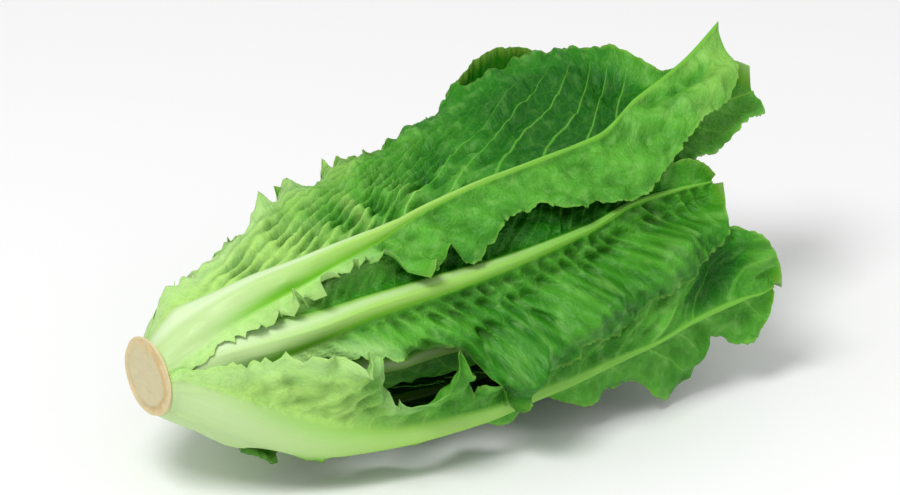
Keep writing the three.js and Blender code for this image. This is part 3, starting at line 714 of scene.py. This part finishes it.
def leaf_faces(rows, columns):
    """Quads of the inner and outer faces and of the rim between them, as rows of four vertex numbers."""
    number = np.arange(rows * columns).reshape(rows, columns)
    a, b, c, d = number[:-1, :-1], number[1:, :-1], number[1:, 1:], number[:-1, 1:]
    outer = np.stack([a, b, c, d], -1).reshape(-1, 4) + rows * columns
    inner = np.stack([a, d, c, b], -1).reshape(-1, 4)
    ring = np.concatenate([number[0, :-1], number[:-1, -1], number[-1, :0:-1], number[:0:-1, 0]])
    after = np.roll(ring, -1)
    rim = np.stack([ring, ring + rows * columns, after + rows * columns, after], -1)
    return np.concatenate([outer, inner, rim])


def mesh_object(name, points, quads):
    mesh = bpy.data.meshes.new(name)
    mesh.vertices.add(len(points))
    mesh.vertices.foreach_set("co", points.astype(np.float32).ravel())
    mesh.loops.add(quads.size)
    mesh.loops.foreach_set("vertex_index", quads.astype(np.int32).ravel())
    mesh.polygons.add(len(quads))
    mesh.polygons.foreach_set("loop_start", np.arange(0, quads.size, 4, dtype=np.int32))
    mesh.polygons.foreach_set("use_smooth", np.ones(len(quads), bool))
    mesh.update(calc_edges=True)
    mesh.validate()
    piece = bpy.data.objects.new(name, mesh)
    bpy.context.scene.collection.objects.link(piece)
    return piece


def paint(mesh, name, values):
    """Keeps one number for each vertex, which the material reads."""
    mesh.attributes.new(name, "FLOAT", "POINT").data.foreach_set("value", values.astype(np.float32).ravel())


def leaf_object(name, sheet, layer):
    rows, columns = sheet["x"].shape
    inner = place(sheet["x"], sheet["angle"], sheet["r"])
    outer = place(sheet["x"], sheet["angle"], sheet["r"] + sheet["thick"])
    piece = mesh_object(name, np.concatenate([inner, outer]), leaf_faces(rows, columns))
    mesh = piece.data
    heart = smooth(7, 14, layer)
    # A leaf is greener towards its tip and its margin, and paler the nearer it is to the heart. Its tone also
    # carries the shade and light painted by the dents.
    green = smooth(25, 120, sheet["x"]) * 0.8 + smooth(6, 40, np.abs(sheet["out"])) * 0.2
    green = np.clip(green + sheet["tone"], 0, 1.5) * (1 - 0.75 * heart)
    fields = dict(sheet, along=sheet["x"], green=green)
    for label in ("rib", "along", "green", "lateral", "hollow_shade", "margin", "out", "show"):
        paint(mesh, label, np.tile(fields[label].ravel(), 2))
    paint(mesh, "heart", np.full(len(mesh.vertices), heart))
    paint(mesh, "crest_highlight", np.full(len(mesh.vertices), LEAVES[layer].get("crest_highlight", 1)))
    return piece


def linear(red, green, blue):
    """An sRGB colour from 0 to 255 as the linear one that shaders take."""
    share = np.array([red, green, blue]) / 255
    return (*np.where(share <= 0.04045, share / 12.92, ((share + 0.055) / 1.055) ** 2.4), 1)


class Nodes:
    """Short ways to add shader nodes to one material."""

    def __init__(self, name):
        self.material = bpy.data.materials.new(name)
        self.material.use_nodes = True
        self.tree = self.material.node_tree
        self.shader = self.tree.nodes["Principled BSDF"]

    def add(self, kind, **settings):
        node = self.tree.nodes.new(kind)
        for key, value in settings.items():
            setattr(node, key, value)
        return node

    def link(self, out, socket):
        self.tree.links.new(out, socket)

    def feed(self, value, socket):
        if isinstance(value, bpy.types.NodeSocket):
            self.link(value, socket)
        else:
            socket.default_value = value

    def read(self, name):
        return self.add("ShaderNodeAttribute", attribute_name=name).outputs["Fac"]

    def math(self, operation, *values, clamp=False):
        node = self.add("ShaderNodeMath", operation=operation, use_clamp=clamp)
        for value, socket in zip(values, node.inputs):
            self.feed(value, socket)
        return node.outputs[0]

    def times(self, first, *others):
        for other in others:
            first = self.math("MULTIPLY", first, other)
        return first

    def span(self, value, low, high, to_low=0.0, to_high=1.0):
        """A soft step from to_low to to_high while the value goes from low to high."""
        node = self.add("ShaderNodeMapRange", interpolation_type="SMOOTHSTEP")
        for given, key in zip((value, low, high, to_low, to_high), range(5)):
            self.feed(given, node.inputs[key])
        return node.outputs[0]

    def mix(self, share, one, other):
        node = self.add("ShaderNodeMix", data_type="RGBA")
        self.feed(share, node.inputs["Factor"])
        self.feed(one, node.inputs[6])
        self.feed(other, node.inputs[7])
        return node.outputs[2]

    def place(self, x, y, z=0.0):
        node = self.add("ShaderNodeCombineXYZ")
        for value, socket in zip((x, y, z), node.inputs):
            self.feed(value, socket)
        return node.outputs[0]

    def noise(self, where, scale, detail=3.0):
        node = self.add("ShaderNodeTexNoise")
        self.feed(where, node.inputs["Vector"])
        node.inputs["Scale"].default_value = scale
        node.inputs["Detail"].default_value = detail
        return node.outputs["Fac"]

    def bump(self, height, depth):
        """Gives the surface a relief of up to depth mm."""
        node = self.add("ShaderNodeBump")
        node.inputs["Strength"].default_value = 0.6
        node.inputs["Distance"].default_value = depth * MM
        self.link(height, node.inputs["Height"])
        self.link(node.outputs[0], self.shader.inputs["Normal"])

    def flesh(self, weight, reach, depth):
        """Lets light into the surface by up to depth mm, with the reach of red, green and blue as shares."""
        self.shader.inputs["Subsurface Weight"].default_value = weight
        self.shader.inputs["Subsurface Radius"].default_value = reach
        self.shader.inputs["Subsurface Scale"].default_value = depth * MM


# Colours of a leaf. The blade runs from its base to deep green, and the midrib from its base to its tip.
BLADE_BASE = linear(172, 217, 112)
BLADE_PALE = linear(146, 200, 88)
BLADE_HEART = linear(212, 226, 128)
BLADE_LIGHT = linear(88, 166, 48)
BLADE_GREEN = linear(32, 116, 10)
BLADE_DEEP = linear(14, 88, 4)
# Painted shade for the hollows between the veins.
BLADE_HOLLOW_SHADE = linear(18, 92, 6)
BLADE_MOTTLE = linear(26, 104, 8)
BLADE_BLOOM = linear(180, 222, 146)
BLADE_EDGE = linear(160, 212, 90)
# Painted sheen: whitish patches of reflected light.
BLADE_PAINTED_SHEEN = linear(142, 200, 104)
VEIN_PALE = linear(186, 222, 130)
VEIN_GREEN = linear(110, 186, 58)
RIB_BASE = linear(190, 214, 158)
RIB_MIDDLE = linear(158, 204, 96)
RIB_TIP = linear(100, 172, 54)
# Green of the midrib's shoulders, laid on more strongly on its low side as painted shade.
RIB_SHOULDER_AND_SHADE = linear(104, 182, 18)
# Painted highlight along the high side of the midrib.
RIB_CREST_HIGHLIGHT = linear(222, 238, 204)
RIB_STRIPE = linear(158, 208, 92)

# Colours of the cut face, its dried ring and rim, and the stem behind it.
FLESH_GREY = linear(192, 186, 148)
FLESH_PALE = linear(208, 200, 162)
FLESH_GRAIN = linear(190, 170, 122)
FACE_RING = linear(194, 162, 104)
FACE_RIM = linear(214, 192, 144)
BARK_DARK = linear(200, 166, 112)
BARK_PALE = linear(224, 206, 160)
STEM_SIDE = linear(226, 234, 204)


def veins_and_net(n, where, mottle):
    """The lateral veins, thinner away from the midrib, with the faint fine net between them."""
    margin, out, lateral = n.read("margin"), n.read("out"), n.read("lateral")
    apart = n.math("ABSOLUTE", n.math("SUBTRACT", lateral, n.math("ROUND", lateral)))
    thin = n.span(n.math("ABSOLUTE", out), 5.0, 45.0, 0.07, 0.028)
    vein = n.span(n.math("DIVIDE", apart, thin), 0.2, 1.0, 1.0, 0.0)
    vein = n.times(vein, n.span(margin, 2.0, 16.0, 0.1, 1.0), n.read("show"), 0.6)
    net = n.add("ShaderNodeTexVoronoi", feature="DISTANCE_TO_EDGE")
    stretched = n.place(n.times(n.read("along"), 0.2), n.times(out, 0.26), n.times(mottle, 0.8))
    n.feed(stretched, net.inputs["Vector"])
    net.inputs["Scale"].default_value = 1.0
    fine = n.span(net.outputs["Distance"], 0.0, 0.13, 1.0, 0.0)
    return n.math("MAXIMUM", vein, n.times(fine, 0.07), clamp=True)


def blade_colour(n, where, mottle, veins):
    """Pale at the base and in the heart and deeper green further out, with painted shade in the hollows
    between the veins.
    """
    green, margin, along = n.read("green"), n.read("margin"), n.read("along")
    patches = n.noise(where, 0.05)
    tone = n.math("ADD", green, n.times(n.math("SUBTRACT", patches, 0.5), 0.7))
    colour = n.mix(n.span(along, 30.0, 100.0), BLADE_BASE, BLADE_PALE)
    colour = n.mix(n.read("heart"), colour, BLADE_HEART)
    colour = n.mix(n.span(tone, 0.1, 0.5), colour, BLADE_LIGHT)
    colour = n.mix(n.span(tone, 0.5, 1.1), colour, BLADE_GREEN)
    colour = n.mix(n.span(tone, 1.0, 1.5), colour, BLADE_DEEP)
    # Painted shade: darker green where the blade sinks between its veins.
    colour = n.mix(n.times(n.read("hollow_shade"), 0.68), colour, BLADE_HOLLOW_SHADE)
    colour = n.mix(n.span(mottle, 0.45, 0.75, 0.0, 0.25), colour, BLADE_MOTTLE)
    colour = n.mix(veins, colour, n.mix(n.span(green, 0.2, 0.9), VEIN_PALE, VEIN_GREEN))

    # A bloom along the margin near the base, a pale edge, and a painted sheen of reflected light here and
    # there, weaker on the deepest green.
    bloom = n.times(n.span(margin, 9.0, 2.0), n.span(along, 110.0, 60.0, 0.0, 0.5), n.span(green, 0.7, 0.3))
    colour = n.mix(bloom, colour, BLADE_BLOOM)
    colour = n.mix(n.span(margin, 0.0, 1.2, 0.22, 0.0), colour, BLADE_EDGE)
    sheen_spots = n.span(n.noise(where, 0.22, 5.0), 0.48, 0.72, 0.0, 0.32)
    return n.mix(n.times(sheen_spots, n.span(tone, 1.3, 0.8, 0.3, 1.0)), colour, BLADE_PAINTED_SHEEN)


def rib_colour(n, stripes):
    """White-green at the base and greener towards the tip, with green shoulders, deeper on the low side as
    painted shade, and a painted highlight along the top of its high side.
    """
    rib, along, out = n.read("rib"), n.read("along"), n.read("out")
    colour = n.mix(n.span(along, 12.0, 80.0), RIB_BASE, RIB_MIDDLE)
    colour = n.mix(n.span(along, 80.0, 180.0), colour, RIB_TIP)
    # Green shoulders on both sides, and on the low side a stronger lime that is painted shade.
    shoulder_and_shade = n.times(n.span(rib, 0.98, 0.42), n.span(along, 10.0, 45.0, 0.1, 1.0))
    colour = n.mix(n.times(shoulder_and_shade, n.span(out, -1.5, 0.5, 1.0, 0.35)), colour, RIB_SHOULDER_AND_SHADE)
    # Painted highlight: near white along the midrib's high side, where the light falls.
    crest_highlight = n.times(n.span(out, 0.0, 2.5), n.span(rib, 0.3, 0.7), n.read("crest_highlight"))
    crest_highlight = n.times(crest_highlight, n.span(along, 60.0, 150.0, 0.7, 0.4))
    colour = n.mix(crest_highlight, colour, RIB_CREST_HIGHLIGHT)
    return n.mix(n.times(stripes, 0.35), colour, RIB_STRIPE)


def leaf_material():
    n = Nodes("leaf")
    along = n.read("along")
    where = n.place(along, n.read("out"))
    mottle = n.noise(where, 0.3)
    veins = veins_and_net(n, where, mottle)
    stripes = n.noise(n.place(n.times(along, 0.02), n.times(n.read("out"), 0.8)), 1.0)
    pith = n.span(n.read("rib"), 0.02, n.span(along, 30.0, 160.0, 0.35, 0.7))
    colour = n.mix(pith, blade_colour(n, where, mottle, veins), rib_colour(n, stripes))
    n.link(colour, n.shader.inputs["Base Color"])

    rough = n.math("ADD", n.times(mottle, 0.25), n.span(pith, 0.0, 1.0, 0.3, 0.26))
    n.link(rough, n.shader.inputs["Roughness"])
    raised = n.math("ADD", n.times(veins, 0.8), n.times(n.noise(where, 1.6), 0.45))
    raised = n.math("ADD", raised, n.times(mottle, 0.8))
    raised = n.math("ADD", raised, n.times(n.noise(where, 0.9, 1.0), 1.2))
    n.bump(n.mix(pith, raised, n.times(stripes, 0.4)), 0.8)
    n.flesh(0.15, (0.6, 1.0, 0.2), 2.0)
    n.shader.inputs["IOR"].default_value = 1.4
    n.shader.inputs["Specular IOR Level"].default_value = 0.28
    return n.material


# The stem: how finely it is divided, its length, and the cut face, in mm. The face is FACE_HOLLOW deep in its
# middle, and a shrunken ring runs round it.
STEM_SIDES = 128
FACE_RINGS = 26
STEM_LENGTH = 66
FACE_RADIUS = 13
FACE_HOLLOW = 0.35
RING_RADIUS = 10.4
RING_HALF_WIDTH = 0.9
RING_DEPTH = 0.5
RIM_HEIGHT = 0.25


def stem_object():
    """The cut face with its uneven dried rim, then the tapering flesh that the leaves stand round."""
    # Rings across the face, close together over the rim and further apart along the flesh.
    profile = [(0.0, r) for r in np.linspace(0, STEM_RADIUS[0][1] - 0.8, FACE_RINGS)]
    walk = np.concatenate([np.linspace(0.1, 1.6, 12), np.linspace(2.4, STEM_LENGTH, 40)])
    profile += [(x, float(np.interp(x, *np.array(STEM_RADIUS).T))) for x in walk] + [(STEM_LENGTH, 0.0)]
    x, r = (np.array(side)[:, None] for side in zip(*profile))
    turn = np.linspace(0, 2 * math.pi, STEM_SIDES, endpoint=False)[None, :]
    y, z = np.cos(turn), np.sin(turn)
    face = smooth(0, 0.2, 0.2 - x)
    rough = clouds(r * y / 3 + 40, r * z / 3 + 40, 5) * 0.35 + clouds(r * y + 40, r * z + 40, 6) * 0.15
    ring = -RING_DEPTH * bell(r - RING_RADIUS, RING_HALF_WIDTH) + RIM_HEIGHT * smooth(11, FACE_RADIUS, r)
    dish = FACE_HOLLOW * (1 - (r / FACE_RADIUS) ** 2)
    x_bent = x - face * (dish - ring * 0.8 - rough - FACE_HOLLOW)
    lean = 1 + 0.03 * clouds(2 * y + 11, 2 * z + 11, 8) * smooth(6, 12, r)
    points = np.stack([np.clip(x_bent, 0, None) + 0 * y, r * lean * y, r * lean * z], -1)
    rings, sides = points.shape[:2]
    number = np.arange(rings * sides).reshape(rings, sides)
    after = np.roll(number, -1, axis=1)
    quads = np.stack([number[:-1], number[1:], after[1:], after[:-1]], -1).reshape(-1, 4)
    piece = mesh_object("stem_flesh", points.reshape(-1, 3) * MM + np.array(AXIS_START), quads[:, ::-1])
    merge_ends(piece.data)
    return piece


def merge_ends(mesh):
    """Joins the points at the two poles of the stem into one each."""
    work = bmesh.new()
    work.from_mesh(mesh)
    bmesh.ops.remove_doubles(work, verts=work.verts, dist=1e-6)
    work.to_mesh(mesh)
    work.free()
    for polygon in mesh.polygons:
        polygon.use_smooth = True


def stem_material():
    n = Nodes("cut_stem")
    apart = n.add("ShaderNodeVectorMath", operation="SUBTRACT")
    n.link(n.add("ShaderNodeTexCoord").outputs["Object"], apart.inputs[0])
    apart.inputs[1].default_value = AXIS_START
    scaled = n.add("ShaderNodeVectorMath", operation="SCALE")
    n.link(apart.outputs[0], scaled.inputs[0])
    scaled.inputs["Scale"].default_value = 1 / MM
    where = scaled.outputs[0]
    split = n.add("ShaderNodeSeparateXYZ")
    n.link(where, split.inputs[0])
    x, y, z = split.outputs
    radius = n.math("SQRT", n.math("ADD", n.times(y, y), n.times(z, z)))
    blotch = n.noise(where, 0.22)
    grain = n.noise(where, 1.6)
    uneven = n.math("ADD", radius, n.times(n.math("SUBTRACT", blotch, 0.5), 5.0))

    # The cut face, with a dried ring that is strongest at the front, and a rim.
    face = n.mix(blotch, FLESH_GREY, FLESH_PALE)
    face = n.mix(n.times(grain, 0.35), face, FLESH_GRAIN)
    ring = n.span(n.math("ABSOLUTE", n.math("SUBTRACT", uneven, 11.9)), 0.2, 1.8, 0.75, 0.0)
    face = n.mix(n.times(ring, n.span(y, 8.0, -6.0, 0.3, 1.0)), face, FACE_RING)
    face = n.mix(n.times(n.span(uneven, 12.9, 14.2), 0.6), face, FACE_RIM)
    colour = n.mix(n.span(x, 0.3, 0.9), face, n.mix(blotch, BARK_DARK, BARK_PALE))
    colour = n.mix(n.span(x, 1.2, 2.2), colour, STEM_SIDE)
    n.link(colour, n.shader.inputs["Base Color"])
    n.shader.inputs["Roughness"].default_value = 0.62
    n.bump(n.math("ADD", grain, blotch), 0.35)
    n.flesh(0.2, (1.0, 0.8, 0.5), 2.0)
    return n.material


def build_leaves():
    cover = np.zeros((COVER_ROWS, COVER_COLUMNS))
    x = np.arange(COVER_ROWS) * COVER_X
    stem = np.minimum(NECK_RADIUS, np.interp(x, *np.array(STEM_RADIUS).T))
    cover[:] = np.where(x < STEM_RADIUS[-1][0], stem, 0)[:, None]
    material = leaf_material()
    tucked = {}
    for layer in range(len(LEAVES) - 1, -1, -1):
        # The far part of an outer leaf can lie under this one, and is laid first.
        for other, leaf in enumerate(LEAVES[:layer]):
            if leaf.get("under", (None,))[0] == layer:
                early = leaf_sheet(leaf, other)
                tucked[other] = shortage(early, cover)
                settle(early, tucked[other])
                lay_down(early, cover, leaf["under"][2])
        sheet = leaf_sheet(LEAVES[layer], layer)
        short = shortage(sheet, cover)
        if layer in tucked:
            far = smooth(*LEAVES[layer]["under"][1:], sheet["x"])
            short = short * (1 - far) + tucked[layer] * far
        settle(sheet, short)
        fuse(sheet, layer)
        if layer == LOWEST_LAYER:
            rest_on_floor(sheet)
        lay_down(sheet, cover)
        name = f"leaf_{layer + 1:02d}"
        piece = leaf_object(name + "_blade", sheet, layer)
        piece.data.materials.append(material)
        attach(piece, "root")
        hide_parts(name)


def build_stem():
    piece = stem_object()
    piece.data.materials.append(stem_material())
    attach(piece, "root")
    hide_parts("stem")


# The floor, in metres, and the share of light that it gives back.
FLOOR_SIZE = 8
FLOOR_COLOUR = (0.9, 0.9, 0.9, 1)

# The photograph's view, in metres: where the camera stands round the head, what it looks at and how wide the
# picture is there.
AZIMUTH = -34.5
ELEVATION = 28
DISTANCE = 3.0
PHOTO_WIDTH = 0.3294
LOOKS_AT = Vector((136.1, 6.3, 8.8)) * MM
SENSOR_WIDTH = 36


def build_floor():
    bpy.ops.mesh.primitive_plane_add(size=FLOOR_SIZE, location=(0, 0, 0))
    floor = bpy.context.object
    floor.name = "floor"
    n = Nodes("floor")
    n.shader.inputs["Base Color"].default_value = FLOOR_COLOUR
    n.shader.inputs["Roughness"].default_value = 0.6
    floor.data.materials.append(n.material)


def direction(azimuth, elevation):
    """From the head to a place round it. Azimuth 0 is in front and 90 on the +X side."""
    a, e = math.radians(azimuth), math.radians(elevation)
    return Vector((math.sin(a) * math.cos(e), -math.cos(a) * math.cos(e), math.sin(e)))


def area_light(name, azimuth, elevation, distance, size, power):
    """A square lamp that faces the head."""
    away = direction(azimuth, elevation)
    light = bpy.data.lights.new(name, "AREA")
    light.size = size
    light.energy = power
    lamp = bpy.data.objects.new(name, light)
    lamp.location = away * distance
    lamp.rotation_mode = "QUATERNION"
    lamp.rotation_quaternion = away.to_track_quat("Z", "Y")
    bpy.context.scene.collection.objects.link(lamp)


def build_lights():
    area_light("key", azimuth=-65, elevation=58, distance=1.6, size=0.5, power=16)
    area_light("fill", azimuth=50, elevation=40, distance=1.8, size=1.4, power=4)
    world = bpy.data.worlds.new("studio")
    world.use_nodes = True
    background = world.node_tree.nodes["Background"]
    background.inputs["Color"].default_value = (1, 1, 1, 1)
    background.inputs["Strength"].default_value = 0.6
    bpy.context.scene.world = world
    bpy.context.scene.view_settings.view_transform = "Standard"


def build_camera():
    back = direction(AZIMUTH, ELEVATION)
    camera = bpy.data.objects.new("camera", bpy.data.cameras.new("camera"))
    camera.data.sensor_width = SENSOR_WIDTH
    camera.data.lens = SENSOR_WIDTH * DISTANCE / PHOTO_WIDTH
    camera.location = AXIS_START + LOOKS_AT + back * DISTANCE
    camera.rotation_mode = "QUATERNION"
    camera.rotation_quaternion = back.to_track_quat("Z", "Y")
    bpy.context.scene.collection.objects.link(camera)
    bpy.context.scene.camera = camera


build_leaves()
build_stem()
build_floor()
build_lights()
build_camera()
